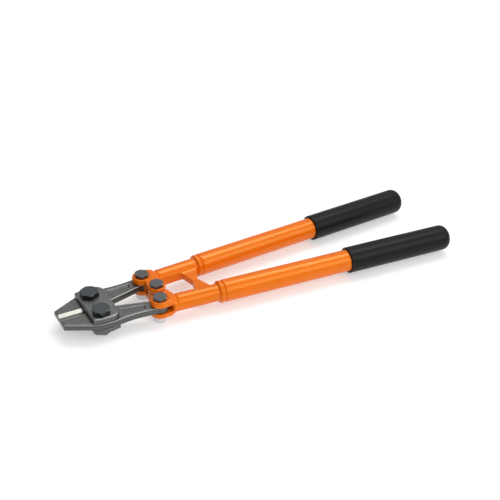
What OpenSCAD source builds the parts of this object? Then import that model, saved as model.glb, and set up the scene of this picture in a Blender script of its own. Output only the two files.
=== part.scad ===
// Centre-cut bolt cutter with two plated jaws, forged handle yokes and tubular handles.
// It lies flat: the pivots stand along Z, the jaws point to -X and the handles to +X.
// Right is +Y and left is -Y, as seen by the person who holds the handles.

/* [Overall] */
// Length from the blunt nose to the ends of the grips
overall_length = 430; // [410:5:470]
// Angle of each handle to the centre plane when the jaws are shut
handle_angle = 4; // [3:0.5:5]

/* [Jaws] */
// Thickness of the jaw forging
jaw_t = 7; // [6.5:0.5:8]
// Distance from the jaw pivots to the nose
nose_length = 37.5; // [34:0.5:40]
// Width of one jaw at its nose
nose_w = 14.2; // [13:0.2:15]
// Distance of each jaw pivot from the centre plane
pivot_y = 15.7; // [15.7:0.1:16.2]
// Width of the ground bevel beside the cutting edge
bevel_w = 5.2; // [4:0.2:6]
// Depth of the panel sunk into each arm
panel_depth = 1.4; // [0.8:0.1:1.6]

/* [Plates] */
// Thickness of the plate on the bolt heads' side
plate_t = 5.3; // [4:0.1:6]
// Thickness of the plate on the nuts' side
bottom_plate_t = 4; // [3:0.1:5]
// Half width of the top plate
plate_half_w = 27.8; // [27:0.2:28.4]

/* [Links] */
// Distance along X from the jaw pivots to the link pivots
link_x = 58.3; // [58:0.1:58.6]
// Distance of each link pivot from the centre plane
link_y = 22.3; // [22:0.1:22.6]
// Distance along X from the jaw pivots to the centre pivot
centre_x = 64.8; // [64.5:0.1:65.1]
// Radius of the round lug at each link pivot
lug_r = 10.2; // [9.4:0.1:10.4]

/* [Handles] */
// Outer radius of the handle tube
tube_r = 11.5; // [11.3:0.1:12]
// Wall of the handle tube
tube_wall = 2; // [1.8:0.1:2]
// Outer radius of the grip
grip_r = 13.8; // [13.4:0.1:14.5]
// Length of the grip
grip_length = 125.5; // [100:0.5:140]

/* [Hidden] */
$fn = 96;

eps = 0.01;
side_play = 0.1;        // gap between a jaw face and its plate
pin_play = 0.05;        // radial gap between a pin and its bore
edge_gap = 0.05;        // half of the gap between the shut cutting edges
jaw_half = jaw_t / 2;
plate_z = jaw_half + side_play;
cheek = [-13, 26.6];    // where the straight side of the nose ends
nose_edge = 1.9;        // side of the square that chamfers the nose's outer edges

// Fasteners
m10_r = 5;
m10_flats = 17;
m10_head = 4.6;
m10_nut = 5.2;
m8_r = 4;
m8_flats = 13;
m8_head = 3.4;
m8_nut = 7.4;
collar_h = 3;           // round collar that holds the locking ring of an M8 nut
collar_r = 6.3;
ring_r = 5.3;
link_top = 9.9;         // top and bottom faces of the yoke lugs
link_bottom = -9.2;
spot_face = 0.6;        // depth of the seat cut for the bolt head
spot_face_r = 8.3;

// Centre pivot: a fork on the right yoke and a tongue on the left one
fork_r = 9.2;
fork_half = 3.45;
tongue_r = 9;
tongue_half = 3.2;
tongue_bore_r = m8_r + 1.6;   // room for the travel that straight coupling leaves over
fork_room_r = 11.8;
tongue_room_r = 11.5;

// Jaw eye and the slot that takes it
eye_r = 8.7;
slot_half = jaw_half + 0.25;
slot_r = eye_r + 1.2;
slot_back = 11.2;

// Yoke bar, web and stop
bar_r = 9;
valley = 0.8;           // how far the bar dips behind the block
web_half = 3.4;         // half the thickness of the web and its stop
block_end = 15;         // end of the full-height block, from the link pivot
spigot_r = tube_r - tube_wall - 0.05;
spigot_length = 46;
tube_start = 60.6;      // all measured along the handle from the link pivot
crimp_at = 5.3;
crimp_w = 2.6;
crimp_depth = 1.1;
lip_r = 1.9;            // rounding of the tube's front edge
grip_corner = 8.5;
grip_end_t = 3.5;

// The row's frame: origin below the middle of the object
head_x = nose_length - overall_length / 2;
mid_z = m8_nut - link_bottom;
handle_end = (overall_length - nose_length - link_x - grip_corner
    - (grip_r - grip_corner) * sin(handle_angle)) / cos(handle_angle) + grip_corner;
grip_start = handle_end - grip_length;

function bend(a, b, c, n = 12) =
    [for (i = [0:n]) let (t = i / n) a * (1 - t) * (1 - t) + b * 2 * t * (1 - t) + c * t * t];
function arc(c, r, from, to, n = 10) =
    [for (i = [0:n]) let (a = from + (to - from) * i / n) c + r * [cos(a), sin(a)]];

module place() translate([head_x, 0, mid_z]) children();
module left_side() mirror([0, 1, 0]) children();
module slab(low, high) translate([0, 0, low]) linear_extrude(high - low) children();
module along_handle() translate([link_x, link_y, 0]) rotate(handle_angle) children();
module spun_along_handle() along_handle() rotate([0, 90, 0]) rotate_extrude() children();

// ---- jaws ----

module jaw_outline() polygon(concat(
        [[-nose_length, edge_gap], [-nose_length, nose_w]],
        bend(cheek, [-5, 30.2], [12, 29.2]),
        bend([13, 29.1], [34, 25.4], [link_x - 3.2, link_y + 7.9]),
        [[link_x + 1, link_y + 6], [link_x + 1, link_y - 6], [link_x - 2.6, link_y - 8]],
        bend([48, 12.6], [30, 7.6], [16, 4.3], 6),
        [[2, 1], [-8, edge_gap]]));

// Cross-section taken off each face beside the cutting edge, as [y, z]
module bevel_section() polygon([[-1, 0.3], [edge_gap, 0.3], [0.9, 1.9], [bevel_w, jaw_half],
    [bevel_w, jaw_half + 1], [-1, jaw_half + 1]]);

module arm_panel() polygon(concat(
    arc([20.8, 13.6], 1.2, 180, 270, 4), arc([42.6, 17.8], 1.2, 285, 360, 4),
    arc([42.6, 22.2], 1.2, 0, 90, 4), arc([20.8, 20.9], 1.2, 90, 180, 4)));

module nose_chamfer() {
    nose_slope = atan2(cheek[1] - nose_w, nose_length + cheek[0]);
    translate([-nose_length, nose_w, jaw_half - nose_edge / 2]) rotate(nose_slope)
        translate([-5, 0, 0]) rotate([45, 0, 0]) cube([34, nose_edge, nose_edge]);
}

module jaw() difference() {
    union() {
        slab(-jaw_half, jaw_half) jaw_outline();
        translate([link_x, link_y, -jaw_half]) cylinder(r = eye_r, h = jaw_t);
    }
    for (face = [0, 1]) mirror([0, 0, face]) {
        translate([-10, 0, 0]) rotate([90, 0, -90]) linear_extrude(nose_length)
            mirror([1, 0]) bevel_section();
        slab(jaw_half - panel_depth, jaw_half + 1) arm_panel();
        nose_chamfer();
    }
    translate([0, pivot_y, -jaw_half - 1]) cylinder(r = m10_r + pin_play, h = jaw_t + 2);
    translate([link_x, link_y, -jaw_half - 1]) cylinder(r = m8_r + pin_play, h = jaw_t + 2);
}

// ---- jaw plates ----

module jaw_bolt_holes() for (side = [-1, 1]) translate([0, side * pivot_y]) circle(m10_r + 0.03);

module top_plate_outline() {
    corner_r = 9;
    corner_x = 7.5;
    polygon(concat([[-12, -25.9]], bend([-10, -26.6], [-4, -plate_half_w], [corner_x, -plate_half_w]),
        bend([corner_x, plate_half_w], [-4, plate_half_w], [-10, 26.6]), [[-12, 25.9]]));
    for (side = [-1, 1]) translate([corner_x, side * (plate_half_w - corner_r)]) circle(corner_r);
    translate([0, corner_r - plate_half_w])
        square([corner_x + corner_r, 2 * (plate_half_w - corner_r)]);
}

module top_plate() slab(plate_z, plate_z + plate_t) difference() {
    top_plate_outline();
    jaw_bolt_holes();
}

module bottom_plate() slab(-plate_z - bottom_plate_t, -plate_z) difference() {
    half = [[-12, 25.6], [-3, 29], [5, 29.2], [14.5, 27.4], [16.5, 19]];
    polygon(concat(half, [for (i = [len(half) - 1:-1:0]) [half[i][0], -half[i][1]]]));
    jaw_bolt_holes();
}

// ---- fasteners, with the seat under the head or nut at z = 0 ----

module hexagon(flats, h) cylinder(r = flats / 2 / cos(30), h = h, $fn = 6);

// Hexagon whose corners are turned off at the top, and at the bottom if asked
module chamfered_hexagon(flats, h, top = true, bottom = false) intersection() {
    face_r = flats / 2;
    corner = flats / 2 / cos(30);
    drop = (corner - face_r + 1) * 0.5;
    hexagon(flats, h);
    rotate_extrude() polygon(concat([[0, 0]],
        bottom ? [[face_r, 0], [corner + 1, drop]] : [[corner + 1, 0]],
        top ? [[corner + 1, h - drop], [face_r, h]] : [[corner + 1, h]], [[0, h]]));
}

module bolt(flats, head_h, shank_r, length, turn) {
    rotate(turn) chamfered_hexagon(flats, head_h);
    translate([0, 0, -length]) cylinder(r1 = shank_r - 0.6, r2 = shank_r, h = 0.8);
    translate([0, 0, 0.8 - length]) cylinder(r = shank_r, h = length - 0.8 + eps);
}

module plain_nut(flats, h, bore_r, turn) difference() {
    rotate(turn) chamfered_hexagon(flats, h);
    translate([0, 0, -1]) cylinder(r = bore_r + 0.02, h = h + 2);
}

// The locking nut hangs down from its seat
module locking_nut(turn) difference() {
    union() {
        translate([0, 0, collar_h - m8_nut]) rotate(turn)
            chamfered_hexagon(m8_flats, m8_nut - collar_h, false, true);
        translate([0, 0, -m8_nut]) rotate_extrude()
            polygon(concat([[0, 0]], arc([collar_r - 1.4, 1.4], 1.4, -90, 0, 8),
                [[collar_r, collar_h + 1], [0, collar_h + 1]]));
    }
    translate([0, 0, -m8_nut - 1]) cylinder(r = m8_r + 0.02, h = m8_nut + 2);
    translate([0, 0, 0.6 - m8_nut]) cylinder(r = ring_r, h = collar_h - 0.4);
}

module nut_insert() translate([0, 0, 0.65 - m8_nut]) difference() {
    cylinder(r = ring_r - 0.05, h = collar_h - 0.5);
    translate([0, 0, -1]) cylinder(r = m8_r + 0.02, h = collar_h + 2);
}

jaw_bolt_length = 2 * plate_z + plate_t + bottom_plate_t + m10_nut + 0.4;
module jaw_bolt(turn) translate([0, pivot_y, plate_z + plate_t])
    bolt(m10_flats, m10_head, m10_r, jaw_bolt_length, turn);
module jaw_nut(turn) translate([0, pivot_y, -plate_z - bottom_plate_t - m10_nut])
    plain_nut(m10_flats, m10_nut, m10_r, turn);

m8_bolt_length = link_top - spot_face - link_bottom + m8_nut - 0.4;
module link_bolt(turn) translate([link_x, link_y, link_top - spot_face])
    bolt(m8_flats, m8_head, m8_r, m8_bolt_length, turn);
module centre_bolt(turn) translate([centre_x, 0, link_top - spot_face])
    bolt(m8_flats, m8_head, m8_r, m8_bolt_length, turn);

// ---- yokes ----

// Solid plan of the link lug and the block behind it
module link_block() {
    translate([link_x, link_y]) circle(lug_r);
    translate([link_x, link_y]) rotate(handle_angle)
        polygon([[0, -9.4], [0, 9.4], [block_end - 3.5, 8.8], [block_end, 5.6],
            [block_end, -6], [block_end - 2, -9.4]]);
}

// Plan of the arm from the link lug to the centre pivot
module centre_arm(end_r) {
    translate([centre_x, 0]) circle(end_r);
    polygon([[link_x - 1.6, link_y - 9.2], [centre_x - end_r + 0.6, 3], [centre_x, -end_r / 2],
        [centre_x + end_r - 0.4, 2.6], [centre_x + 7.6, 8], [centre_x + 7.8, 15.5],
        [centre_x + 10.4, link_y], [link_x, link_y]]);
}

// Bar with its web and stop, before the opening is cut
module bar_and_web() {
    spun_along_handle() polygon([[0, slot_back + 1], [bar_r - valley, slot_back + 1],
        [bar_r - valley, block_end + 0.6], [bar_r, block_end + 2.2],
        [bar_r, tube_start],
        [spigot_r, tube_start + 0.6], [spigot_r, tube_start + crimp_at - crimp_w / 2],
        [spigot_r - crimp_depth - 0.1, tube_start + crimp_at - 0.6],
        [spigot_r - crimp_depth - 0.1, tube_start + crimp_at + 0.6],
        [spigot_r, tube_start + crimp_at + crimp_w / 2],
        [spigot_r, tube_start + spigot_length - 1], [spigot_r - 1, tube_start + spigot_length],
        [0, tube_start + spigot_length]]);
    slab(-web_half, web_half) polygon([[74, 24], [74, 14], [104, edge_gap], [110.3, edge_gap],
        [117.2, 17.3], [118.6, 19.2], [119.2, 26]]);
}

// Opening between the two bars, which leaves a narrow flat along the inner side of each
module opening() slab(-bar_r - 1, bar_r + 1) polygon(concat([[70, -1], [70, 14.6]],
    bend([95.4, 16.4], [99.6, 16.7], [101, 11.5], 6), [[102.4, 6], [104.1, -1]]));

module yoke_bar() difference() {
    bar_and_web();
    opening();
}

// Room for the jaw eye: open at the front and on the outer side
module eye_slot() {
    reach = 20;
    slab(-slot_half, slot_half) translate([link_x, link_y]) {
        circle(slot_r);
        rotate(handle_angle) square([slot_back, reach]);
        rotate(handle_angle) translate([-reach, -slot_r]) square([reach, slot_r + reach]);
    }
}

module link_holes() translate([link_x, link_y, 0]) {
    translate([0, 0, link_bottom - 1]) cylinder(r = m8_r + 0.03, h = 30);
    translate([0, 0, link_top - spot_face]) cylinder(r = spot_face_r, h = 5);
}

module fork_yoke() difference() {
    union() {
        slab(link_bottom, link_top) {
            link_block();
            centre_arm(fork_r);
        }
        yoke_bar();
    }
    eye_slot();
    link_holes();
    slab(-fork_half, fork_half) translate([centre_x, 0]) circle(tongue_room_r);
    translate([centre_x, 0, link_bottom - 1]) cylinder(r = m8_r + 0.03, h = 30);
    translate([centre_x, 0, link_top - spot_face]) cylinder(r = spot_face_r, h = 5);
}

module tongue_yoke() difference() {
    union() {
        slab(link_bottom, link_top) difference() {
            union() {
                link_block();
                centre_arm(fork_r);
            }
            translate([centre_x, 0]) circle(fork_room_r);
        }
        slab(-tongue_half, tongue_half) centre_arm(tongue_r);
        yoke_bar();
    }
    eye_slot();
    link_holes();
    translate([centre_x, 0, -tongue_half - 1]) cylinder(r = tongue_bore_r, h = 2 * tongue_half + 2);
}

// ---- handle tubes and grips ----

module tube() {
    inner_r = tube_r - tube_wall;
    tube_end = handle_end - grip_end_t - 0.5;
    crimp = tube_start + crimp_at;
    spun_along_handle() polygon(concat(
        [[inner_r, tube_start], [inner_r, crimp - crimp_w / 2],
            [inner_r - crimp_depth, crimp - 0.5], [inner_r - crimp_depth, crimp + 0.5],
            [inner_r, crimp + crimp_w / 2], [inner_r, tube_end], [tube_r, tube_end]],
        bend([tube_r, crimp + crimp_w / 2 + 0.6], [tube_r, crimp + 0.8], [tube_r - crimp_depth, crimp], 4),
        bend([tube_r - crimp_depth, crimp], [tube_r, crimp - 0.8], [tube_r, crimp - crimp_w / 2 - 0.6], 4),
        [for (p = arc([tube_r - lip_r, lip_r], lip_r, 0, -90, 6)) [p[0], tube_start + p[1]]]));
}

module grip() {
    bore_r = tube_r + 0.05;
    spun_along_handle() polygon(concat(
        [[bore_r, grip_start], [bore_r, handle_end - grip_end_t], [0, handle_end - grip_end_t],
            [0, handle_end]],
        [for (p = arc([grip_r - grip_corner, -grip_corner], grip_corner, 90, 0, 12))
            [p[0], handle_end + p[1]]],
        [for (p = arc([grip_r - 0.9, 0.9], 0.9, 0, -90, 4)) [p[0], grip_start + p[1]]]));
}

// ---- nodes ----

steel = [0.33, 0.34, 0.35];
dark_steel = [0.17, 0.18, 0.19];
zinc = [0.75, 0.76, 0.79];
orange = [0.93, 0.42, 0.05];
rubber = [0.06, 0.06, 0.06];
nylon = [0.85, 0.85, 0.82];

module at_link(x, y) translate([x, y, link_bottom]) children();

color(steel) place() top_plate();
color(steel) place() bottom_plate();
color(dark_steel) place() jaw_bolt(25);  // right_jaw_bolt
color(dark_steel) place() left_side() jaw_bolt(-11.5);  // left_jaw_bolt
color(dark_steel) place() jaw_nut(20);  // right_jaw_nut
color(dark_steel) place() left_side() jaw_nut(-31);  // left_jaw_nut
color(steel) place() jaw();  // right_jaw
color(steel) place() left_side() jaw();  // left_jaw
color(orange) place() fork_yoke();  // right_yoke
color(orange) place() left_side() tongue_yoke();  // left_yoke
color(orange) place() tube();  // right_tube
color(orange) place() left_side() tube();  // left_tube
color(rubber) place() grip();  // right_grip
color(rubber) place() left_side() grip();  // left_grip
color(dark_steel) place() link_bolt(12.5);  // right_link_bolt
color(dark_steel) place() left_side() link_bolt(-7);  // left_link_bolt
color(dark_steel) place() centre_bolt(7);
color(zinc) place() at_link(link_x, link_y) locking_nut(8);  // right_link_nut
color(zinc) place() at_link(link_x, -link_y) locking_nut(7);  // left_link_nut
color(zinc) place() at_link(centre_x, 0) locking_nut(7);  // centre_nut
color(nylon) place() at_link(link_x, link_y) nut_insert();  // right_nut_insert
color(nylon) place() at_link(link_x, -link_y) nut_insert();  // left_nut_insert
color(nylon) place() at_link(centre_x, 0) nut_insert();  // centre_nut_insert
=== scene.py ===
"""A small centre-cut bolt cutter with forged orange yokes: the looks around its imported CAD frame."""

import logging
import math
from dataclasses import dataclass, field
from enum import Enum
from typing import Callable, Iterable, Sequence

import bpy
import numpy as np
from mathutils import Matrix, Vector


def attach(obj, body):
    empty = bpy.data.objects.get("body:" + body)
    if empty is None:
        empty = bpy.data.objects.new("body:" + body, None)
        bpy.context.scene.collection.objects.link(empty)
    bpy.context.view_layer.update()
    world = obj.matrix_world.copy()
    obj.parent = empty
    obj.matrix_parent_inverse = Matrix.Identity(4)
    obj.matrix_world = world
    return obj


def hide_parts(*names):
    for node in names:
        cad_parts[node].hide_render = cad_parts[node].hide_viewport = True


logging.basicConfig(level=logging.INFO, format="%(message)s")
log = logging.getLogger("bolt_cutter")

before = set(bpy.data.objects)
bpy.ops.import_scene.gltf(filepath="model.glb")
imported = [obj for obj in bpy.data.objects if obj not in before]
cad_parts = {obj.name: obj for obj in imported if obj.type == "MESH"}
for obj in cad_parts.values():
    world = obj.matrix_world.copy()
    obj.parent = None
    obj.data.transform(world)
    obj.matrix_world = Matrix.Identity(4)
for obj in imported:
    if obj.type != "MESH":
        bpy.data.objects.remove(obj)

Point = tuple[float, float]
Array = np.ndarray
Form = Callable[[Array, Array, Array], Array]

MM = 0.001
ORIGIN = Vector((-177.5, 0.0, 16.6))   # where the drawing's zero lies in the row, in mm


class Side(Enum):
    """The hand that holds a piece; the value is the sign of its Y."""

    RIGHT = 1
    LEFT = -1

    @property
    def word(self) -> str:
        """The side's name as the CAD nodes spell it."""
        return self.name.lower()


# ---- forms: signed distances in mm, negative inside ----


def circle(x: Array, y: Array, centre: Point, r: float) -> Array:
    """Distance to a circle in plan."""
    return np.hypot(x - centre[0], y - centre[1]) - r


def outline(x: Array, y: Array, points: Sequence[Point]) -> Array:
    """Distance to a closed polygon in plan, its corners in order in mm."""
    x, y = np.broadcast_arrays(x, y)
    nearest = np.full(x.shape, 1e12)
    inside = np.zeros(x.shape, bool)
    for (ax, ay), (bx, by) in zip(points, [*points[1:], points[0]]):
        ex, ey, wx, wy = bx - ax, by - ay, x - ax, y - ay
        t = np.clip((wx * ex + wy * ey) / (ex * ex + ey * ey), 0, 1)
        nearest = np.minimum(nearest, (wx - ex * t) ** 2 + (wy - ey * t) ** 2)
        if by != ay:
            inside ^= ((ay > y) != (by > y)) & (wx < ex * wy / ey)
    return np.where(inside, -1.0, 1.0) * np.sqrt(nearest)


def line_side(x: Array, y: Array, a: Point, b: Point) -> Array:
    """Distance to the line from a to b, positive on its left."""
    dx, dy = b[0] - a[0], b[1] - a[1]
    return (dx * (y - a[1]) - dy * (x - a[0])) / math.hypot(dx, dy)


def join(a: Array, b: Array, k: float) -> Array:
    """Union with a fillet of about k mm."""
    h = np.clip(0.5 + 0.5 * (b - a) / k, 0, 1)
    return b + (a - b) * h - k * h * (1 - h)


def trim(a: Array, b: Array, k: float) -> Array:
    """Intersection with an edge rounded over about k mm."""
    return -join(-a, -b, k)


def slab(plan: Array, z: Array, low: float, high: float, r: float) -> Array:
    """A plan drawn up from low to high into a plate whose edges are rounded by r."""
    a = plan + r
    b = np.abs(z - (low + high) / 2) - (high - low) / 2 + r
    return np.minimum(np.maximum(a, b), 0) + np.hypot(np.maximum(a, 0), np.maximum(b, 0)) - r


def round_corner(centre: Point, r: float, start: float, end: float, n: int = 10) -> list[Point]:
    """Points along an arc, its angles in degrees."""
    angles = (math.radians(start + (end - start) * i / n) for i in range(n + 1))
    return [(centre[0] + r * math.cos(a), centre[1] + r * math.sin(a)) for a in angles]


def bend(a: Point, b: Point, c: Point, n: int = 12) -> list[Point]:
    """Points along a curve from a to c that leans to b."""
    p, q, r = (np.array(v, float) for v in (a, b, c))
    return [tuple(p * (1 - t) ** 2 + q * 2 * t * (1 - t) + r * t * t) for t in np.linspace(0, 1, n + 1)]


# ---- meshes ----


def row_points(points: Array) -> Array:
    """Drawing mm to row metres."""
    return (points + np.array(ORIGIN)) * MM


def new_object(name: str, mesh: bpy.types.Mesh) -> bpy.types.Object:
    """Links a mesh into the scene as an object at the origin."""
    piece = bpy.data.objects.new(name, mesh)
    bpy.context.scene.collection.objects.link(piece)
    return piece


def skin(name: str, form: Form, low: Sequence[float], high: Sequence[float],
         step: float) -> bpy.types.Object:
    """Draws the surface of a form as even quads, then pulls its points onto the true surface.

    Args:
        name: The object's name.
        form: Signed distance in mm of x, y and z.
        low, high: Corners of the box that holds the form, in mm.
        step: Size of a quad, in mm.

    Returns:
        The new object, smooth shaded.
    """
    counts = [int(math.ceil((b - a) / step)) + 3 for a, b in zip(low, high)]
    axes = [a - step + step * np.arange(n) for a, n in zip(low, counts)]
    grid = np.meshgrid(*axes, indexing="ij", sparse=True)
    value = np.broadcast_to(form(*grid), counts).astype(float)
    assert (value < 0).any(), f"{name} has nothing inside its box"
    cells = [n - 1 for n in counts]
    total = np.zeros((*cells, 3))
    hits = np.zeros(cells)
    crossings = []
    for axis in range(3):
        first = [slice(None)] * 3
        second = [slice(None)] * 3
        first[axis], second[axis] = slice(0, -1), slice(1, None)
        a, b = value[tuple(first)], value[tuple(second)]
        at = np.argwhere((a < 0) != (b < 0))
        others = [o for o in range(3) if o != axis]
        at = at[np.all([(at[:, o] > 0) & (at[:, o] < cells[o]) for o in others], axis=0)]
        va, vb = a[tuple(at.T)], b[tuple(at.T)]
        place = at.astype(float)
        place[:, axis] += va / (va - vb)
        ring = []
        for d0, d1 in ((1, 1), (0, 1), (0, 0), (1, 0)):
            cell = at.copy()
            cell[:, others[0]] -= d0
            cell[:, others[1]] -= d1
            np.add.at(total, tuple(cell.T), place)
            np.add.at(hits, tuple(cell.T), 1)
            ring.append(cell)
        flip = (va < 0) if axis != 1 else (va >= 0)
        crossings.append((ring, flip))
    index = np.full(cells, -1)
    active = hits > 0
    index[active] = np.arange(active.sum())
    points = np.array([a[0] for a in axes]) + step * total[active] / hits[active][:, None]
    for _ in range(3):
        points = settle(points, form, step)
    faces = []
    for ring, flip in crossings:
        quads = np.stack([index[tuple(c.T)] for c in ring], axis=1)
        quads[~flip] = quads[~flip][:, ::-1]
        faces.append(quads)
    faces = np.concatenate(faces)
    mesh = bpy.data.meshes.new(name)
    mesh.from_pydata(row_points(points).tolist(), [], faces.tolist())
    mesh.validate()
    mesh.shade_smooth()
    return new_object(name, mesh)


def settle(points: Array, form: Form, step: float) -> Array:
    """Moves points along the form's slope onto its surface, by no more than a third of a step."""
    e = 0.02
    here = form(*points.T)
    slope = np.stack([form(*(points + d).T) - here for d in np.eye(3) * e], axis=1) / e
    size = np.maximum((slope ** 2).sum(1), 0.25)
    move = slope * (here / size)[:, None]
    length = np.maximum(np.linalg.norm(move, axis=1), 1e-9)
    return points - move * np.minimum(1, step * 0.33 / length)[:, None]


def plain(piece: bpy.types.Object) -> bpy.types.Object:
    """Turns an object with modifiers into a plain mesh of what they make."""
    graph = bpy.context.evaluated_depsgraph_get()
    graph.update()
    made = bpy.data.meshes.new_from_object(piece.evaluated_get(graph), preserve_all_data_layers=True,
                                           depsgraph=graph)
    piece.modifiers.clear()
    piece.data = made
    return piece


def soften(piece: bpy.types.Object, width: float) -> None:
    """Rounds a piece's sharp edges over a width in mm."""
    edge = piece.modifiers.new("edge", "BEVEL")
    edge.width = width * MM
    edge.segments = 2
    edge.limit_method = "ANGLE"
    edge.angle_limit = math.radians(25)
    edge.harden_normals = True
    edge.use_clamp_overlap = True
    plain(piece)


def dress(piece: bpy.types.Object, finish: "Finish", body: str, nodes: Iterable[str]) -> None:
    """Gives a finished piece its material and its body, and hides the CAD nodes it stands for."""
    piece.data.materials.clear()
    piece.data.materials.append(finish.material())
    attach(piece, body)
    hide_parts(*nodes)
    log.info("%s: %d faces, %s", piece.name, len(piece.data.polygons), finish.slot)


# ---- node trees ----


class Sheet:
    """A short way to write a node tree: makes nodes, sets their values and links them."""

    def __init__(self, tree: bpy.types.NodeTree) -> None:
        """Keeps the tree that the nodes go into."""
        self.tree = tree

    def add(self, kind: str, inputs: dict | None = None, **settings) -> bpy.types.Node:
        """Makes one node from values or output sockets for its inputs, and its own settings."""
        made = self.tree.nodes.new(kind)
        for key, value in settings.items():
            setattr(made, key, value)
        for key, value in (inputs or {}).items():
            self.put(made.inputs[key], value)
        return made

    def put(self, socket: bpy.types.NodeSocket, value) -> None:
        """Sets a socket, or links an output socket to it."""
        if isinstance(value, bpy.types.NodeSocket):
            self.tree.links.new(value, socket)
        else:
            socket.default_value = value

    def sum(self, operation: str, a, b=0.0, c=None) -> bpy.types.NodeSocket:
        """One Math node; returns its result."""
        inputs = {0: a, 1: b}
        if c is not None:
            inputs[2] = c
        return self.add("ShaderNodeMath", inputs, operation=operation).outputs[0]


def new_tree(name: str, sizes: Iterable[tuple[str, float]]) -> bpy.types.NodeTree:
    """Makes a tree that takes a geometry, named sizes and a material, and gives a geometry."""
    tree = bpy.data.node_groups.new(name, "GeometryNodeTree")
    face = tree.interface
    face.new_socket("Geometry", in_out="INPUT", socket_type="NodeSocketGeometry")
    for label, value in sizes:
        kind = {bool: "Bool", int: "Int", float: "Float"}[type(value)]
        face.new_socket(label, in_out="INPUT", socket_type=f"NodeSocket{kind}").default_value = value
    face.new_socket("Material", in_out="INPUT", socket_type="NodeSocketMaterial")
    face.new_socket("Geometry", in_out="OUTPUT", socket_type="NodeSocketGeometry")
    return tree


def run_tree(piece: bpy.types.Object, tree: bpy.types.NodeTree, values: dict) -> bpy.types.Object:
    """Runs a tree on an object with these inputs, and keeps what it makes as a plain mesh."""
    step = piece.modifiers.new("tree", "NODES")
    step.node_group = tree
    for socket in tree.interface.items_tree:
        if socket.item_type == "SOCKET" and socket.in_out == "INPUT" and socket.name in values:
            step[socket.identifier] = values[socket.name]
    return plain(piece)


# ---- finishes ----


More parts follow.
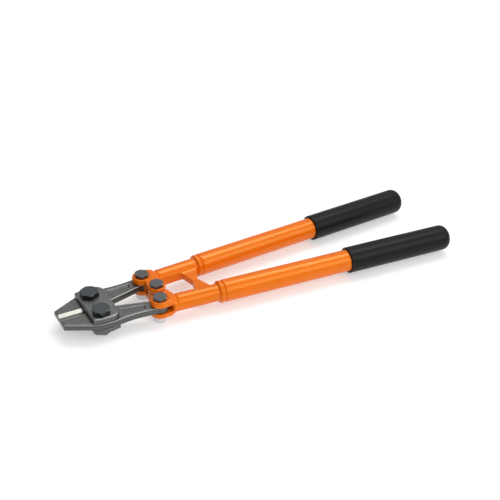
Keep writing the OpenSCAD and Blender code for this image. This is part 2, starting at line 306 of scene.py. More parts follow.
@dataclass(frozen=True)
class Finish:
    """What every finish has: a name, a slot name, a base colour and how that varies.

    Mottle is how much it changes in patches. Sides paints shade: the brightness of upright faces against
    faces that lie flat. The edge factor paints a highlight: the brightness of rounded edges against them.
    """

    UPRIGHT, FLAT = 0.45, 0.9             # how far up the normal of each kind of face points
    EDGE, EDGE_BAND = 0.72, (0.06, 0.2)   # the same on a rounded edge, and how it fades out

    name: str
    slot: str
    colour: tuple[float, float, float]
    roughness: float = 0.4
    metallic: float = 0.0
    mottle: float = 0.1
    mottle_mm: float = 14.0
    grain_mm: float = 0.7
    grain_height: float = 0.02
    specular: float = 0.5
    tint: tuple[float, float, float] = (1.0, 1.0, 1.0)
    # sides paints shade on upright faces; the next factor paints a highlight on rounded edges
    sides: float = 1.0
    painted_edge_highlight: float = 1.0

    def material(self) -> bpy.types.Material:
        """Makes the material, or finds it if it has been made."""
        found = bpy.data.materials.get(self.name)
        if found:
            return found
        made = bpy.data.materials.new(self.name)
        made.use_nodes = True
        sheet = Sheet(made.node_tree)
        shader = made.node_tree.nodes["Principled BSDF"]
        shader.inputs["Metallic"].default_value = self.metallic
        shader.inputs["Specular IOR Level"].default_value = self.specular
        shader.inputs["Specular Tint"].default_value = (*self.tint, 1)
        here = sheet.add("ShaderNodeTexCoord").outputs["Object"]
        self.build(sheet, shader, here)
        made.diffuse_color = (*self.colour, 1)
        return made

    def noise(self, sheet: Sheet, here, size_mm: float, detail: float = 3.0, rough: float = 0.55):
        """Noise whose patches are about size_mm across."""
        return sheet.add("ShaderNodeTexNoise", {"Vector": here, "Scale": 1000 / size_mm, "Detail": detail,
                                                "Roughness": rough}).outputs["Fac"]

    def shade(self, factor: float) -> tuple[float, float, float, float]:
        """The base colour, lighter or darker by a factor."""
        return (*(min(1.0, c * factor) for c in self.colour), 1)

    def mix(self, sheet: Sheet, factor, a, b):
        """A colour between a and b."""
        return sheet.add("ShaderNodeMix", {0: factor, 6: a, 7: b}, data_type="RGBA").outputs[2]

    def spread(self, sheet: Sheet, value, low: float, high: float, to_low: float, to_high: float):
        """Maps a value from one range to another, clamped."""
        return sheet.add("ShaderNodeMapRange", {0: value, 1: low, 2: high, 3: to_low, 4: to_high}).outputs[0]

    def mottled(self, sheet: Sheet, patches):
        """The base colour, a little darker and lighter in patches."""
        factor = self.spread(sheet, patches, 0.3, 0.7, 0, 1)
        return self.mix(sheet, factor, self.shade(1 - self.mottle), self.shade(1 + self.mottle))

    def relief(self, sheet: Sheet, shader, height, depth_mm: float, base=None):
        """Adds a bump whose full height is depth_mm."""
        inputs = {"Height": height, "Strength": 1.0, "Distance": depth_mm * MM}
        if base is not None:
            inputs["Normal"] = base
        bump = sheet.add("ShaderNodeBump", inputs)
        sheet.put(shader.inputs["Normal"], bump.outputs[0])
        return bump.outputs[0]

    def by_slope(self, sheet: Sheet, colour):
        """The colour with painted shade on upright faces and a painted highlight on rounded edges."""
        if self.sides == 1 and self.painted_edge_highlight == 1:
            return colour
        normal = sheet.add("ShaderNodeTexCoord").outputs["Normal"]
        up = sheet.sum("ABSOLUTE", sheet.add("ShaderNodeSeparateXYZ", {0: normal}).outputs[2])
        # painted shade: upright faces get the base colour times sides
        level = self.spread(sheet, up, self.UPRIGHT, self.FLAT, 0, 1)
        colour = self.mix(sheet, level, self.shade(self.sides), colour)
        # painted highlight: faces that slope like a rounded edge get the base colour times the edge factor
        off = sheet.sum("ABSOLUTE", sheet.sum("SUBTRACT", up, self.EDGE))
        highlight_share = self.spread(sheet, off, *self.EDGE_BAND, 1, 0)
        return self.mix(sheet, highlight_share, colour, self.shade(self.painted_edge_highlight))

    def build(self, sheet: Sheet, shader, here) -> None:
        """Lays out the colour, roughness and relief nodes."""
        patches = self.noise(sheet, here, self.mottle_mm)
        fine = self.noise(sheet, here, self.grain_mm, 4.0, 0.6)
        colour = self.mottled(sheet, patches)
        speck = self.spread(sheet, fine, 0.35, 0.65, 0, 1)
        light = self.mix(sheet, 0.5, colour, self.shade(1 + 2 * self.mottle))
        colour = self.mix(sheet, speck, colour, light)
        colour = self.by_slope(sheet, colour)
        sheet.put(shader.inputs["Base Color"], colour)
        rough = self.spread(sheet, fine, 0.3, 0.7, self.roughness - 0.05, self.roughness + 0.07)
        sheet.put(shader.inputs["Roughness"], rough)
        self.relief(sheet, shader, fine, self.grain_height)


@dataclass(frozen=True)
class PowderCoat(Finish):
    """Orange powder coat: a slight peel, and a gloss that is softer in patches."""

    peel_mm: float = 2.4
    peel_height: float = 0.035

    def build(self, sheet: Sheet, shader, here) -> None:
        """Lays out a coat over a wide peel with fine dust marks in it."""
        wide = self.noise(sheet, here, self.mottle_mm, 2.0)
        peel = self.noise(sheet, here, self.peel_mm, 1.5, 0.4)
        dust = self.noise(sheet, here, self.grain_mm, 3.0)
        sheet.put(shader.inputs["Base Color"], self.mottled(sheet, wide))
        sheet.put(shader.inputs["Roughness"],
                  self.spread(sheet, dust, 0.35, 0.7, self.roughness - 0.03, self.roughness + 0.09))
        base = self.relief(sheet, shader, peel, self.peel_height)
        self.relief(sheet, shader, dust, self.grain_height, base)


@dataclass(frozen=True)
class ForgedSteel(Finish):
    """Tumbled forged steel, its bevels by the cutting edge ground bright, with a painted highlight as a thin
    bright strip beside the left one.
    """

    MARKS = (3200, 160, 160)   # grinding marks per metre along X, Y and Z

    ground: tuple[float, float, float] = (0.33, 0.33, 0.295)
    ground_dark: float = 0.78
    ground_rough: float = 0.3
    ground_from: float = 0.95
    ground_w: float = 5.2
    # width of a painted highlight: a thin bright strip beside the left jaw's ground bevel
    glint_w: float = 0.75
    ground_end: float = -10.0
    tip: float = -37.1

    def build(self, sheet: Sheet, shader, here) -> None:
        """Lays out scale and pits and, next to the cutting edge, cross-grinding marks and a painted highlight
        strip beside the left bevel.
        """
        super().build(sheet, shader, here)
        split = sheet.add("ShaderNodeSeparateXYZ", {0: here})
        along, across = split.outputs[0], split.outputs[1]
        off = sheet.sum("ABSOLUTE", across)
        inner = self.spread(sheet, off, (self.ground_from - 0.1) * MM, (self.ground_from + 0.1) * MM, 0, 1)
        outer = self.spread(sheet, off, (self.ground_w - 0.12) * MM, (self.ground_w + 0.06) * MM, 1, 0)
        # painted highlight: a thin bright strip just outside the left jaw's ground bevel, coloured like
        # ground steel
        from_glint = sheet.sum("ABSOLUTE", sheet.sum("ADD", across, (self.ground_w + self.glint_w / 2) * MM))
        glint_strip = self.spread(sheet, from_glint, self.glint_w * 0.4 * MM, self.glint_w * 0.6 * MM, 1, 0)
        end, tip = (self.ground_end + ORIGIN.x) * MM, (self.tip + ORIGIN.x) * MM
        ahead = self.spread(sheet, along, end - 0.2 * MM, end, 1, 0)
        behind = self.spread(sheet, along, tip, tip + 0.2 * MM, 0, 1)
        band = sheet.sum("MAXIMUM", sheet.sum("MULTIPLY", inner, outer), glint_strip)
        mask = sheet.sum("MULTIPLY", band, sheet.sum("MULTIPLY", ahead, behind))
        marks = sheet.add("ShaderNodeMapping", {0: here, 3: self.MARKS}, vector_type="POINT").outputs[0]
        scratch = sheet.add("ShaderNodeTexNoise", {"Vector": marks, "Scale": 1.0, "Detail": 2.0}).outputs[0]
        dark = tuple(c * self.ground_dark for c in self.ground)
        bright = self.mix(sheet, scratch, (*dark, 1), (*self.ground, 1))
        colour, rough = shader.inputs["Base Color"], shader.inputs["Roughness"]
        sheet.put(colour, self.mix(sheet, mask, colour.links[0].from_socket, bright))
        forged = rough.links[0].from_socket
        node = sheet.add("ShaderNodeMix", {0: mask, 2: forged, 3: self.ground_rough}, data_type="FLOAT")
        sheet.put(rough, node.outputs[0])


class Finishes:
    """The finishes of the tool, one of each."""

    # sides paints shade on upright faces, and the last factor on each line paints a highlight on rounded
    # edges
    JAW = ForgedSteel("forged_jaw_steel", "jaw_steel", (0.135, 0.137, 0.132), 0.33, 0.9, mottle=0.16,
                      mottle_mm=9, grain_mm=0.9, grain_height=0.03, sides=0.75, painted_edge_highlight=2.2)
    PLATE = Finish("rolled_plate", "plate_steel", (0.15, 0.154, 0.154), 0.33, 0.9, mottle=0.16, mottle_mm=16,
                   grain_mm=0.6, grain_height=0.015, sides=0.75, painted_edge_highlight=1.8)
    DARK = Finish("black_oxide", "dark_bolt", (0.07, 0.077, 0.08), 0.34, 0.9, mottle=0.14, mottle_mm=5,
                  grain_mm=0.4, grain_height=0.01, sides=0.5, painted_edge_highlight=1.6)
    NUT = Finish("phosphate_nut", "dark_bolt", (0.15, 0.155, 0.146), 0.36, 0.9, mottle=0.14, mottle_mm=5,
                 grain_mm=0.4, grain_height=0.01)
    GREY = Finish("phosphate_grey", "grey_bolt", (0.12, 0.123, 0.124), 0.33, 0.9, mottle=0.14, mottle_mm=5,
                  grain_mm=0.4, grain_height=0.01, painted_edge_highlight=1.8)
    ZINC = Finish("zinc_plate", "zinc_nut", (0.66, 0.67, 0.7), 0.27, 1.0, mottle=0.06, mottle_mm=4,
                  grain_mm=0.5, grain_height=0.006)
    NYLON = Finish("nylon", "nylon_ring", (0.74, 0.73, 0.68), 0.45, mottle=0.04, mottle_mm=4,
                   grain_height=0.006)
    ORANGE = PowderCoat("orange_powder_coat", "orange_paint", (0.71, 0.13, 0.0006), 0.19, mottle=0.03,
                        mottle_mm=22, grain_mm=0.35, grain_height=0.004, specular=0.56,
                        tint=(1.0, 0.88, 0.3))
    GRIP = Finish("dipped_vinyl", "black_grip", (0.005, 0.005, 0.0045), 0.34, mottle=0.15, mottle_mm=30,
                  grain_mm=0.8, grain_height=0.012, specular=0.15)


# ---- sub-assemblies ----


@dataclass
class Linkage:
    """Where the pivots are, in drawing mm on the right-hand side."""

    jaw_pivot: Point = (0.0, 15.7)
    link: Point = (58.3, 22.3)
    centre: Point = (64.8, 0.0)
    angle: float = 4.0

    def along(self, x: Array, y: Array) -> tuple[Array, Array]:
        """Drawing x and y to distances along and across the right-hand handle."""
        c, s = math.cos(math.radians(self.angle)), math.sin(math.radians(self.angle))
        dx, dy = x - self.link[0], y - self.link[1]
        return dx * c + dy * s, dy * c - dx * s


@dataclass
class Jaw:
    """One forged jaw with its arm, panel, eye and ground centre cut."""

    side: Side
    links: Linkage
    half: float = 3.5
    nose: float = 37.5
    nose_w: float = 14.2
    gap: float = 0.05
    eye_r: float = 8.7
    bore_r: float = 5.05
    link_bore_r: float = 4.05
    panel_depth: float = 1.5
    panel_lip: float = 0.75
    draft: float = 0.13
    side_chamfer: float = 1.9
    side_chamfer_end: float = -4.0
    nose_chamfer: float = 1.1
    edge_half: float = 0.3           # half thickness at the cutting edge
    knee: Point = (0.9, 1.9)         # y and z where the two bevels meet
    bevel_w: float = 5.2
    bevel_end: float = -10.0
    step: float = 0.36

    def plan(self, x: Array, y: Array) -> Array:
        """The jaw's outline in plan, eye included."""
        lx, ly = self.links.link
        corners = [(-self.nose, self.gap), (-self.nose, self.nose_w),
                   *bend((-13, 26.6), (-5, 30.2), (12, 29.2)),
                   *bend((13, 29.1), (34, 25.4), (lx - 3.2, ly + 7.9)),
                   (lx + 1, ly + 6), (lx + 1, ly - 6), (lx - 2.6, ly - 8),
                   *bend((48, 12.6), (30, 7.6), (16, 4.3), 6), (2, 1), (-8, self.gap)]
        return np.minimum(outline(x, y, corners), circle(x, y, self.links.link, self.eye_r))

    def panel(self, x: Array, y: Array) -> Array:
        """The sunk panel's outline in plan."""
        return outline(x, y, [(20.0, 12.8), (43.6, 16.9), (43.6, 23.2), (20.0, 21.9)])

    def form(self, x: Array, y: Array, z: Array) -> Array:
        """The jaw as a signed distance, on the right-hand side."""
        up = np.abs(z)
        body = slab(self.plan(x, y) + self.draft * up, z, -self.half, self.half, 1.0)
        edge = line_side(x, y, (-self.nose, self.nose_w), (-13, 26.6))
        side = (edge + up - self.half + self.side_chamfer) / math.sqrt(2)
        body = trim(body, np.where(x < self.side_chamfer_end, side, -5.0), 0.5)
        front = (-self.nose - x + up - self.half + self.nose_chamfer) / math.sqrt(2)
        body = trim(body, front, 0.4)
        knee_y, knee_z = self.knee
        low = math.atan2(self.half - knee_z, self.bevel_w - knee_y)
        high = math.atan2(knee_z - self.edge_half, knee_y - self.gap)
        for slope, y0, z0 in ((low, knee_y, knee_z), (high, self.gap, self.edge_half)):
            over = (up - z0) * math.cos(slope) - (y - y0) * math.sin(slope)
            body = np.maximum(body, np.minimum(over, self.bevel_end - x))
        sunk = trim(self.panel(x, y) + 0.5, self.half - self.panel_depth - up, 0.5)
        body = trim(body, -sunk, self.panel_lip)
        body = np.maximum(body, -circle(x, y, self.links.jaw_pivot, self.bore_r))
        body = np.maximum(body, -circle(x, y, self.links.link, self.link_bore_r))
        return np.maximum(body, self.gap - y)

    def build(self) -> None:
        """Makes the jaw and dresses it."""
        sign, word = self.side.value, self.side.word
        low, high = (-38.0, -1.0, -4.0), (68.0, 32.0, 4.0)
        piece = skin(f"{word}_jaw_forging", self.form, low, high, self.step)
        turn_to(piece, sign)
        dress(piece, Finishes.JAW, f"{word}_jaw", [f"{word}_jaw"])


def turn_to(piece: bpy.types.Object, sign: int) -> None:
    """Mirrors a right-hand piece across the centre plane if it is for the left, with its faces outward."""
    if sign < 0:
        piece.data.transform(Matrix.Scale(-1, 4, (0, 1, 0)))
        piece.data.flip_normals()


@dataclass
class Plates:
    """The two plates that hold the jaws."""

    links: Linkage
    low: float = 3.6
    top_t: float = 5.3
    bottom_t: float = 4.0
    half_w: float = 27.8
    corner_r: float = 9.0
    draft: float = 0.06
    top_round: float = 1.5
    bottom_round: float = 0.6
    step: float = 0.42

    def top(self, x: Array, y: Array, z: Array) -> Array:
        """The top plate: a straight front edge, round rear corners and a rolled upper edge."""
        r, w = self.corner_r, self.half_w
        half = [(-12, 25.9), *bend((-10, 26.6), (-4, w), (7.5, w)), *round_corner((7.5, w - r), r, 90, 0)]
        plan = outline(x, y, [*half, *[(a, -b) for a, b in reversed(half)]])
        plan = plan + self.draft * (z - self.low)
        plate = slab(plan, z, self.low - 3, self.low + self.top_t, self.top_round)
        return np.maximum(plate, self.low - z)

    def bottom(self, x: Array, y: Array, z: Array) -> Array:
        """The bottom plate: sharp corners and a light break of its edges."""
        half = [(-12, 25.6), (-3, 29), (5, 29.2), (14.5, 27.4), (16.5, 19)]
        plan = outline(x, y, [*half, *[(a, -b) for a, b in reversed(half)]])
        plate = slab(plan, z, -self.low - self.bottom_t, 3 - self.low, self.bottom_round)
        return np.maximum(plate, self.low + z)

    def build(self) -> None:
        """Makes both plates and dresses them."""
        spans = (("top", self.top, self.low - 1, self.low + self.top_t + 1),
                 ("bottom", self.bottom, -self.low - self.bottom_t - 1, 1 - self.low))
        for name, form, low, high in spans:
            piece = skin(f"{name}_jaw_plate", form, (-13, -31, low), (18, 31, high), self.step)
            dress(piece, Finishes.PLATE, "head", [f"{name}_plate"])


@dataclass
class Yoke:
    """A forged yoke: clevis, centre pivot, bar, web and stop."""

    side: Side
    links: Linkage
    top: float = 9.9
    bottom: float = -9.2
    lug_r: float = 10.2
    fork_r: float = 9.2
    tongue_r: float = 9.0
    tongue_half: float = 3.2
    tongue_bore_r: float = 5.6
    bar_r: float = 9.0
    bar_start: float = 12.0
    valley: float = 1.1
    valley_at: float = 15.9
    valley_w: float = 1.1
    tube_start: float = 60.6
    spigot: float = 3.0
    draft: float = 0.04
    web_half: float = 3.4
    slot_half: float = 3.75
    slot_r: float = 9.9
    slot_back: float = 11.2
    room_r: float = 11.5             # in the fork, for the tongue
    room_half: float = 3.45
    fork_room_r: float = 11.8        # in the left yoke, for the fork
    stop_span: Point = (96.0, 118.0)
    stop_gap: float = 0.05
    hole_r: float = 4.03
    seat_r: float = 8.3
    seat_depth: float = 0.6
    step: float = 0.5

    def arm(self, x: Array, y: Array, r: float) -> Array:
        """Plan of the arm from the link lug to the centre pivot."""
        cx, (lx, ly) = self.links.centre[0], self.links.link
        arm = outline(x, y, [(lx - 1.6, ly - 9.2), (cx - r + 0.6, 3), (cx, -r / 2), (cx + r - 0.4, 2.6),
                             (cx + 7.6, 8), (cx + 7.8, 15.5), (cx + 10.4, ly), (lx, ly)])
        return np.minimum(circle(x, y, self.links.centre, r), arm)

    def form(self, x: Array, y: Array, z: Array) -> Array:
        """The yoke as a signed distance, on the right-hand side."""
        links = self.links
        u, v = links.along(x, y)
        fork = self.side is Side.RIGHT
        up = np.abs(z - (self.top + self.bottom) / 2)
        block = outline(u, v, [(0, -9.3), (0, 9.3), (9.5, 8.8), (15, 5.2), (15, -6), (12.5, -9.4)])
        block = join(circle(x, y, links.link, self.lug_r - 0.1), block, 1.0)
        arm = self.arm(x, y, self.fork_r)
        if fork:
            plan = join(block, arm, 1.4)
        else:
            plan = trim(join(block, arm, 1.4), -circle(x, y, links.centre, self.fork_room_r), 0.8)
        lug = slab(plan + self.draft * up, z, self.bottom, self.top, 2.0)
        if not fork:
            tongue = slab(self.arm(x, y, self.tongue_r), z, -self.tongue_half, self.tongue_half, 0.5)
            lug = join(lug, tongue, 0.8)
        bell = np.exp(-((u - self.valley_at) / self.valley_w) ** 2)
        dip = self.valley * bell * np.clip((z - 1) / 6, 0, 1)
        ends = np.maximum(self.bar_start - u, u - self.tube_start - self.spigot - 1)
        bar = np.maximum(np.hypot(v, z) - self.bar_r + dip, ends)
        webbing = outline(x, y, [(74, 24), (74, 14), (104, self.stop_gap), (110.3, self.stop_gap),
                                 (117.2, 17.3), (118.6, 19.2), (119.2, 26)])
        web = slab(webbing + self.draft * np.abs(z), z, -self.web_half, self.web_half, 0.5)
        opening = outline(x, y, [(70, -1), (70, 14.6), *bend((95.4, 16.4), (99.6, 16.7), (101, 11.5), 6),
                                 (102.4, 6), (104.1, -1)])
        body = trim(join(bar, web, 3.6), self.draft * np.abs(z) - opening, 0.5)
        body = join(body, lug, 1.0)
        body = trim(body, u - self.tube_start - self.spigot, 0.5)
        behind = outline(u, v, [(0, 0), (self.slot_back, 0), (self.slot_back, 22), (0, 22)])
        ahead = outline(u, v, [(-24, -self.slot_r), (0.5, -self.slot_r), (0.5, 24), (-24, 24)])
        slot = np.minimum(np.minimum(behind, ahead), circle(x, y, links.link, self.slot_r))
        body = trim(body, -np.maximum(slot, np.abs(z) - self.slot_half), 0.5)
        if fork:
            room = np.maximum(circle(x, y, links.centre, self.room_r), np.abs(z) - self.room_half)
            body = trim(body, -room, 0.4)
        pivots = (links.link, links.centre) if fork else (links.link,)
        for place in pivots:
            body = np.maximum(body, -circle(x, y, place, self.hole_r))
            seat = np.maximum(circle(x, y, place, self.seat_r), self.top - self.seat_depth - z)
            body = trim(body, -seat, 0.3)
        if not fork:
            body = np.maximum(body, -circle(x, y, links.centre, self.tongue_bore_r))
        start, end = self.stop_span
        stop = np.where((x > start) & (x < end), self.stop_gap - y, -3.0)
        return np.maximum(body, stop)

    def build(self) -> None:
        """Makes the yoke and dresses it."""
        word = self.side.word
        piece = skin(f"{word}_yoke_forging", self.form, (47, -10.5, -10), (129, 38, 11), self.step)
        turn_to(piece, self.side.value)
        dress(piece, Finishes.ORANGE, f"{word}_handle", [f"{word}_yoke"])


class TurnedTree:
    """A node tree that draws a round piece along a line, its radius following a rule."""

    NAME = "Turned Along Handle"
    SIZES = (("Start", 60.6), ("Length", 270.0), ("Radius", 11.5), ("Front Round", 2.6), ("Rear Round", 0.3),
             ("Groove Depth", 1.1), ("Groove At", 5.3), ("Groove Width", 1.0), ("Rings", 420), ("Sides", 96))

    def __init__(self) -> None:
        """Makes the tree with its named inputs and lays out its nodes."""
        self.tree = new_tree(self.NAME, self.SIZES)
        self.lay_out()

    def lay_out(self) -> None:
        """Lays out the nodes: a line of rings, each moved to its place and given its radius."""
        sheet = Sheet(self.tree)
        given = sheet.add("NodeGroupInput").outputs
        steps = sheet.sum("SUBTRACT", given["Rings"], 1.0)
        line = sheet.add("GeometryNodeMeshLine", {"Count": given["Rings"]}, mode="OFFSET")
        curve = sheet.add("GeometryNodeMeshToCurve", {"Mesh": line.outputs[0]})
        share = sheet.sum("DIVIDE", sheet.add("GeometryNodeInputIndex").outputs[0], steps)
        cosine = sheet.sum("COSINE", sheet.sum("MULTIPLY", share, math.pi))
        at = sheet.sum("MULTIPLY", sheet.sum("MULTIPLY_ADD", cosine, -0.5, 0.5), given["Length"])
        left = sheet.sum("SUBTRACT", given["Length"], at)
        radius = given["Radius"]
        for distance, label in ((at, "Front Round"), (left, "Rear Round")):
            r = given[label]
            short = sheet.sum("MAXIMUM", sheet.sum("SUBTRACT", r, distance), 0.0)
            square = sheet.sum("SUBTRACT", sheet.sum("MULTIPLY", r, r), sheet.sum("MULTIPLY", short, short))
            drop = sheet.sum("SUBTRACT", r, sheet.sum("SQRT", sheet.sum("MAXIMUM", square, 0.0)))
            radius = sheet.sum("SUBTRACT", radius, drop)
        away = sheet.sum("DIVIDE", sheet.sum("SUBTRACT", at, given["Groove At"]), given["Groove Width"])
        bell = sheet.sum("EXPONENT", sheet.sum("MULTIPLY", sheet.sum("MULTIPLY", away, away), -1.0))
        radius = sheet.sum("SUBTRACT", radius, sheet.sum("MULTIPLY", bell, given["Groove Depth"]))
        x = sheet.sum("MULTIPLY", sheet.sum("ADD", at, given["Start"]), MM)
        place = sheet.add("ShaderNodeCombineXYZ", {0: x}).outputs[0]
        moved = sheet.add("GeometryNodeSetPosition", {0: curve.outputs[0], "Position": place})
        metres = sheet.sum("MULTIPLY", sheet.sum("MAXIMUM", radius, 0.01), MM)
        sized = sheet.add("GeometryNodeSetCurveRadius", {0: moved.outputs[0], "Radius": metres})
        ring = sheet.add("GeometryNodeCurvePrimitiveCircle", {"Resolution": given["Sides"], "Radius": 1.0},
                         mode="RADIUS")
        swept = sheet.add("GeometryNodeCurveToMesh", {
            "Curve": sized.outputs[0], "Profile Curve": ring.outputs[0], "Fill Caps": True,
            "Scale": sheet.add("GeometryNodeInputRadius").outputs[0]})
        real = sheet.add("GeometryNodeRealizeInstances", {0: swept.outputs[0]})
        smooth = sheet.add("GeometryNodeSetShadeSmooth", {0: real.outputs[0], "Shade Smooth": True})
        coat = sheet.add("GeometryNodeSetMaterial", {0: smooth.outputs[0], "Material": given["Material"]})
        sheet.add("NodeGroupOutput", {0: coat.outputs[0]})

    def make(self, name: str, finish: Finish, sizes: dict[str, float]) -> bpy.types.Object:
        """Makes one turned piece along +X from the row's origin, as a plain mesh."""
        piece = new_object(name, bpy.data.meshes.new(name))
        return run_tree(piece, self.tree, {**sizes, "Material": finish.material()})


@dataclass
class Handle:
    """A handle tube and its grip."""

    side: Side
    links: Linkage
    turned: TurnedTree
    tube_start: float = 60.6
    handle_end: float = 334.63
    tube_r: float = 11.5
    grip_r: float = 13.8
    grip_length: float = 125.5
    grip_end_t: float = 3.5
    tube_gap: float = 0.5

    def place(self, piece: bpy.types.Object) -> None:
        """Swings a piece drawn along +X onto this handle's axis."""
        sign = self.side.value
        x, y = self.links.link
        move = Matrix.Translation(Vector((x + ORIGIN.x, sign * y, ORIGIN.z)) * MM)
        piece.data.transform(move @ Matrix.Rotation(math.radians(sign * self.links.angle), 4, "Z"))

    def build(self) -> None:
        """Makes the tube and the grip."""
        word = self.side.word
        body = f"{word}_handle"
        tube_length = self.handle_end - self.grip_end_t - self.tube_gap - self.tube_start
        tube = self.turned.make(f"{word}_handle_tube", Finishes.ORANGE, {
            "Start": self.tube_start, "Length": tube_length, "Radius": self.tube_r})
        self.place(tube)
        dress(tube, Finishes.ORANGE, body, [f"{word}_tube"])
        grip = self.turned.make(f"{word}_handle_grip", Finishes.GRIP, {
            "Start": self.handle_end - self.grip_length, "Length": self.grip_length, "Radius": self.grip_r,
            "Front Round": 1.1, "Rear Round": 8.5, "Groove Depth": 0.0, "Rings": 220})
        self.place(grip)
        dress(grip, Finishes.GRIP, body, [f"{word}_grip"])


class PieceTree:
    """A node tree that sets one piece on each point of a mesh, turned by the point's attribute."""

    NAME = "Piece"
    SIZES: tuple = ()
    TURNED_SHARE = 0.497    # radius of a turned end, against the width across flats
    CLEAR = 12.0            # how much wider a cone is that leaves the corners alone, in mm
    CONE_DEPTH, CONE_SPREAD = 0.0055, 0.010    # in metres

    def __init__(self) -> None:
        """Makes the tree with its named inputs and lays out its nodes."""
        self.tree = new_tree(self.NAME, self.SIZES)
        self.sheet = Sheet(self.tree)
        given = self.sheet.add("NodeGroupInput").outputs
        turn = self.sheet.add("GeometryNodeInputNamedAttribute", {"Name": "turn"}, data_type="FLOAT")
        spin = self.sheet.add("ShaderNodeCombineXYZ", {2: turn.outputs[0]}).outputs[0]
        placed = self.sheet.add("GeometryNodeInstanceOnPoints", {
            "Points": given["Geometry"], "Instance": self.shape(given), "Rotation": spin})
        real = self.sheet.add("GeometryNodeRealizeInstances", {0: placed.outputs[0]})
        coat = self.sheet.add("GeometryNodeSetMaterial", {0: real.outputs[0], "Material": given["Material"]})
        self.sheet.add("NodeGroupOutput", {0: coat.outputs[0]})

    def shape(self, given):
        """Lays out the piece itself; returns its geometry socket."""
        raise NotImplementedError

    def mm(self, value):
        """A size in mm as one in metres."""
        return self.sheet.sum("MULTIPLY", value, MM)

    def moved(self, geometry, height, turned: bool = False):
        """The geometry raised by a height in metres, or turned upside down first."""
        lift = self.sheet.add("ShaderNodeCombineXYZ", {2: height}).outputs[0]
        turn = (math.pi if turned else 0, 0, 0)
        placing = {0: geometry, "Translation": lift, "Rotation": turn}
        return self.sheet.add("GeometryNodeTransform", placing).outputs[0]

    def barrel(self, radius, low, high, sides: int = 96):
        """A closed cylinder between two heights in mm."""
        height = self.sheet.sum("SUBTRACT", high, low)
        made = self.sheet.add("GeometryNodeMeshCylinder", {
            "Vertices": sides, "Radius": self.mm(radius), "Depth": self.mm(height)}).outputs["Mesh"]
        return self.moved(made, self.mm(self.sheet.sum("MULTIPLY_ADD", height, 0.5, low)))

    def combine(self, operation: str, first, *others):
        """A boolean of geometries; the first is the one that a difference cuts."""
        made = self.sheet.add("GeometryNodeMeshBoolean", operation=operation, solver="EXACT")
        if operation == "DIFFERENCE":
            self.sheet.put(made.inputs["Mesh 1"], first)
        else:
            others = (first, *others)
        for other in others:
            self.sheet.tree.links.new(other, made.inputs["Mesh 2"])
        return made.outputs[0]

    def hexagon(self, flats, height, top, bottom):
        """A hexagon from z = 0 up, its corners turned off by a cone where asked."""
        shape = self.barrel(self.sheet.sum("DIVIDE", flats, 2 * math.cos(math.radians(30))), 0.0, height, 6)
        for on, turned in ((top, False), (bottom, True)):
            wider = 0.0
            if on is not True:
                choice = {"Switch": on, "False": self.CLEAR, "True": 0.0}
                wider = self.sheet.add("GeometryNodeSwitch", choice, input_type="FLOAT").outputs[0]
            r = self.mm(self.sheet.sum("MULTIPLY_ADD", flats, self.TURNED_SHARE, wider))
            foot = self.sheet.sum("ADD", r, self.CONE_SPREAD)
            cone = self.sheet.add("GeometryNodeMeshCone", {
                "Vertices": 128, "Radius Top": r, "Radius Bottom": foot,
                "Depth": self.CONE_DEPTH}).outputs["Mesh"]
            up = self.sheet.sum("SUBTRACT", self.mm(height), self.CONE_DEPTH)
            cone = self.moved(cone, self.CONE_DEPTH, True) if turned else self.moved(cone, up)
            shape = self.combine("INTERSECT", shape, cone)
        return shape

    def make(self, name: str, places: Sequence[tuple[float, float, float, float]], finish: Finish,
             sizes: dict, edge: float = 0.22) -> bpy.types.Object:
        """Sets one piece at each place.

        Args:
            name: The object's name.
            places: x, y and z of each seat in drawing mm, and its turn in degrees.
            finish: The finish.
            sizes: Values for the tree's named inputs.
            edge: How far its edges are broken, in mm.

        Returns:
            All of them as one plain mesh.
        """
        mesh = bpy.data.meshes.new(name)
        mesh.from_pydata(row_points(np.array([p[:3] for p in places])).tolist(), [], [])
        turn = mesh.attributes.new("turn", "FLOAT", "POINT")
        for i, place in enumerate(places):
            turn.data[i].value = math.radians(place[3])
        piece = run_tree(new_object(name, mesh), self.tree, {**sizes, "Material": finish.material()})
        soften(piece, edge)
        return piece


class HexTree(PieceTree):
    """Hexagon heads with their shanks, and plain nuts."""

    NAME = "Hexagon Pieces"
    SIZES = (("Flats", 17.0), ("Height", 4.6), ("Shank Radius", 5.0), ("Shank Length", 20.0),
             ("Turn Off Top", True), ("Turn Off Bottom", False))

    def shape(self, given):
        """A hexagon on its seat, and a shank below it."""
        ends = (given["Turn Off Top"], given["Turn Off Bottom"])
        head = self.hexagon(given["Flats"], given["Height"], *ends)
        low = self.sheet.sum("MULTIPLY", given["Shank Length"], -1.0)
        shank = self.barrel(given["Shank Radius"], low, 0.0)
        parts = self.sheet.add("GeometryNodeJoinGeometry")
        for part in (head, shank):
            self.sheet.tree.links.new(part, parts.inputs[0])
        return parts.outputs[0]


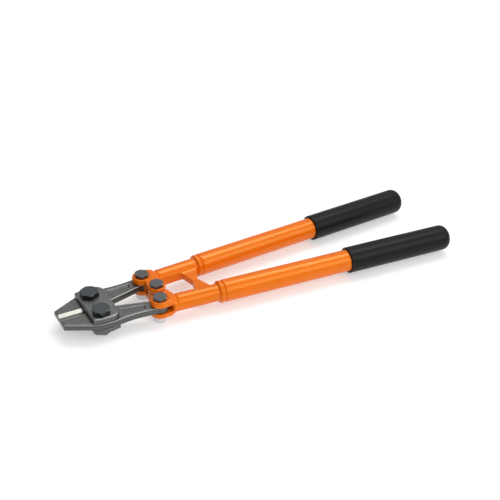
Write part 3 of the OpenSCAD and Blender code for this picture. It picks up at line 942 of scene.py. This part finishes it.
class LockNutTree(PieceTree):
    """Nuts that hang below their seat and end in a crimped collar round a ring."""

    NAME = "Locking Nuts"
    SIZES = (("Flats", 13.0), ("Height", 7.4), ("Collar Height", 3.0), ("Collar Radius", 6.3), ("Crimp", 1.2),
             ("Bore", 4.02), ("Ring Radius", 5.3), ("Ring Depth", 1.6))
    LAP = 0.4          # how far the collar runs into the hexagon
    CRIMP_IN = 0.75    # how far the crimp turns in

    def shape(self, given):
        """A hexagon and its collar, bored through and recessed for the ring, then turned over."""
        sum_of = self.sheet.sum
        neck = sum_of("SUBTRACT", given["Height"], given["Collar Height"])
        crimp_from = sum_of("SUBTRACT", given["Height"], given["Crimp"])
        body = self.hexagon(given["Flats"], neck, True, True)
        collar = self.barrel(given["Collar Radius"], sum_of("SUBTRACT", neck, self.LAP), crimp_from)
        mouth = sum_of("SUBTRACT", given["Collar Radius"], self.CRIMP_IN)
        crimp = self.sheet.add("GeometryNodeMeshCone", {
            "Vertices": 96, "Radius Top": self.mm(mouth), "Radius Bottom": self.mm(given["Collar Radius"]),
            "Depth": self.mm(given["Crimp"])}).outputs["Mesh"]
        whole = self.combine("UNION", body, collar, self.moved(crimp, self.mm(crimp_from)))
        through = self.barrel(given["Bore"], -1.0, sum_of("ADD", given["Height"], 1.0))
        recess = self.barrel(given["Ring Radius"], sum_of("SUBTRACT", given["Height"], given["Ring Depth"]),
                             sum_of("ADD", given["Height"], 2.0))
        return self.moved(self.combine("DIFFERENCE", whole, through, recess), 0.0, True)


class RingTree(PieceTree):
    """Flat rings between two heights."""

    NAME = "Rings"
    SIZES = (("Radius", 5.25), ("Bore", 4.03), ("Low", -7.0), ("High", -5.8))

    def shape(self, given):
        """A disc less its bore."""
        bore = self.barrel(given["Bore"], self.sheet.sum("SUBTRACT", given["Low"], 1.0),
                           self.sheet.sum("ADD", given["High"], 1.0))
        return self.combine("DIFFERENCE", self.barrel(given["Radius"], given["Low"], given["High"]), bore)


@dataclass
class Fasteners:
    """Every bolt, nut and nylon ring."""

    NO_SHANK = {"Shank Radius": 4.0, "Shank Length": 0.01}   # a sliver, hidden in the bolt

    links: Linkage
    hexes: HexTree
    lock_nuts: LockNutTree
    rings: RingTree
    plate_face: float = 8.9
    nut_face: float = 7.6
    m10_nut: float = 5.2
    m10_shank: float = 22.1
    m8_flats: float = 13.0
    m8_head: float = 3.4
    m8_r: float = 4.0
    m8_shank: float = 25.4
    yoke_top: float = 9.3
    yoke_bottom: float = -9.2
    jaw_turns: dict = field(default_factory=lambda: {Side.RIGHT: 25.0, Side.LEFT: 11.5})
    jaw_nut_turns: dict = field(default_factory=lambda: {Side.RIGHT: 20.0, Side.LEFT: 31.0})
    link_turns: dict = field(default_factory=lambda: {Side.RIGHT: 12.5, Side.LEFT: 7.0})
    centre_turn: float = 7.0

    def build(self) -> None:
        """Makes the head's fasteners, then each handle's."""
        self.jaw_set()
        for side in Side:
            self.yoke_set(side)

    def jaw_set(self) -> None:
        """Makes the two jaw bolts and their plain nuts."""
        above = self.jaw_places(self.plate_face, self.jaw_turns)
        below = self.jaw_places(-self.nut_face - self.m10_nut, self.jaw_nut_turns)
        bolt, nut = {"Shank Length": self.m10_shank}, {"Height": self.m10_nut, **self.NO_SHANK}
        sets = (("bolt", above, Finishes.DARK, bolt), ("nut", below, Finishes.NUT, nut))
        for kind, places, finish, sizes in sets:
            piece = self.hexes.make(f"jaw_{kind}s", places, finish, sizes)
            dress(piece, finish, "head", [f"{s.word}_jaw_{kind}" for s in Side])

    def jaw_places(self, seat: float, turns: dict) -> list[tuple[float, float, float, float]]:
        """A seat at one height on each jaw's pivot, with its turn."""
        x, y = self.links.jaw_pivot
        return [(x, s.value * y, seat, turns[s]) for s in Side]

    def yoke_set(self, side: Side) -> None:
        """Makes one handle's bolts, locking nuts and rings; the right one carries the centre pivot's."""
        (lx, ly), (cx, _) = self.links.link, self.links.centre
        seats = {f"{side.word}_link": (lx, side.value * ly, self.link_turns[side])}
        if side is Side.RIGHT:
            seats["centre"] = (cx, 0.0, self.centre_turn)
        body = f"{side.word}_handle"
        above = [(x, y, self.yoke_top, turn) for x, y, turn in seats.values()]
        below = [(x, y, self.yoke_bottom, turn) for x, y, turn in seats.values()]
        bolts = self.hexes.make(f"{side.word}_yoke_bolts", above, Finishes.GREY, {
            "Flats": self.m8_flats, "Height": self.m8_head, "Shank Radius": self.m8_r,
            "Shank Length": self.m8_shank})
        dress(bolts, Finishes.GREY, body, [f"{name}_bolt" for name in seats])
        nuts = self.lock_nuts.make(f"{side.word}_yoke_nuts", below, Finishes.ZINC, {}, 0.3)
        dress(nuts, Finishes.ZINC, body, [f"{name}_nut" for name in seats])
        rings = self.rings.make(f"{side.word}_yoke_nut_rings", below, Finishes.NYLON, {}, 0.15)
        dress(rings, Finishes.NYLON, body, [f"{name.removesuffix('_link')}_nut_insert" for name in seats])


@dataclass
class Studio:
    """Floor, lights and camera."""

    eye: tuple[float, float, float] = (-0.4310, -0.7510, 0.5852)
    look: tuple[float, float, float] = (0.00865, 0.02766, 0.0166)
    roll: float = 1.23
    lens: float = 71.3
    surround: float = 0.8
    dim: float = 0.12
    floor_half: float = 8.0
    floor_shade: float = 0.64
    floor_rough: float = 0.85
    floor_glow: float = 0.4
    brighter: tuple[float, float, float] = (0.55, -0.35, 0.76)
    bright_span: Point = (-0.7, 0.9)
    lamps: tuple = (("near softbox", (0.6, -1.8, 1.35), (2.2, 1.3), 21.0),
                    ("high softbox", (0.5, 0.45, 1.6), (1.6, 0.6), 16.0))

    def build(self) -> None:
        """Makes the floor, the lights and the camera."""
        self.floor()
        self.lights()
        self.camera()

    def floor(self) -> None:
        """A plain pale floor under the tool."""
        mesh = bpy.data.meshes.new("floor")
        h = self.floor_half
        mesh.from_pydata([(-h, -h, 0), (h, -h, 0), (h, h, 0), (-h, h, 0)], [], [(0, 1, 2, 3)])
        ground = new_object("floor", mesh)
        paper = bpy.data.materials.new("pale_floor")
        paper.use_nodes = True
        shader = paper.node_tree.nodes["Principled BSDF"]
        shader.inputs["Base Color"].default_value = (*[self.floor_shade] * 3, 1)
        shader.inputs["Roughness"].default_value = self.floor_rough
        shader.inputs["Emission Color"].default_value = (1, 1, 1, 1)
        shader.inputs["Emission Strength"].default_value = self.floor_glow
        mesh.materials.append(paper)

    def lights(self) -> None:
        """A wide softbox on the near side, a smaller one high behind, and a dim surround."""
        world = bpy.data.worlds.new("studio")
        world.use_nodes = True
        sheet = Sheet(world.node_tree)
        view = sheet.add("ShaderNodeTexCoord").outputs["Generated"]
        toward = sheet.add("ShaderNodeVectorMath", {0: view, 1: self.brighter}, operation="DOT_PRODUCT")
        low, high = self.bright_span
        glow = sheet.add("ShaderNodeMapRange", {
            0: toward.outputs["Value"], 1: low, 2: high, 3: self.dim, 4: self.surround})
        back = world.node_tree.nodes["Background"]
        back.inputs[0].default_value = (1, 1, 1, 1)
        sheet.put(back.inputs[1], glow.outputs[0])
        bpy.context.scene.world = world
        for name, place, size, power in self.lamps:
            lamp = bpy.data.lights.new(name, "AREA")
            lamp.shape = "RECTANGLE"
            lamp.size, lamp.size_y = size
            lamp.energy = power
            holder = bpy.data.objects.new(name, lamp)
            holder.location = place
            holder.rotation_euler = (-Vector(place)).to_track_quat("-Z", "Y").to_euler()
            bpy.context.scene.collection.objects.link(holder)
        look = bpy.context.scene.view_settings
        look.view_transform = "Standard"
        look.look = "None"

    def camera(self) -> None:
        """The camera, as far off and as turned as the tool is seen."""
        lens = bpy.data.cameras.new("camera")
        lens.lens = self.lens
        lens.sensor_width = 36
        holder = bpy.data.objects.new("camera", lens)
        eye, look = Vector(self.eye), Vector(self.look)
        turn = (look - eye).to_track_quat("-Z", "Y").to_matrix().to_4x4()
        roll = Matrix.Rotation(math.radians(self.roll), 4, "Z")
        holder.matrix_world = Matrix.Translation(eye) @ turn @ roll
        bpy.context.scene.collection.objects.link(holder)
        bpy.context.scene.camera = holder


def main() -> None:
    """Builds the tool piece by piece, then the studio."""
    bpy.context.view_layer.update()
    links = Linkage()
    turned = TurnedTree()
    Plates(links).build()
    for side in Side:
        Jaw(side, links).build()
        Yoke(side, links).build()
        Handle(side, links, turned).build()
    Fasteners(links, HexTree(), LockNutTree(), RingTree()).build()
    Studio().build()


if __name__ == "__main__":
    main()
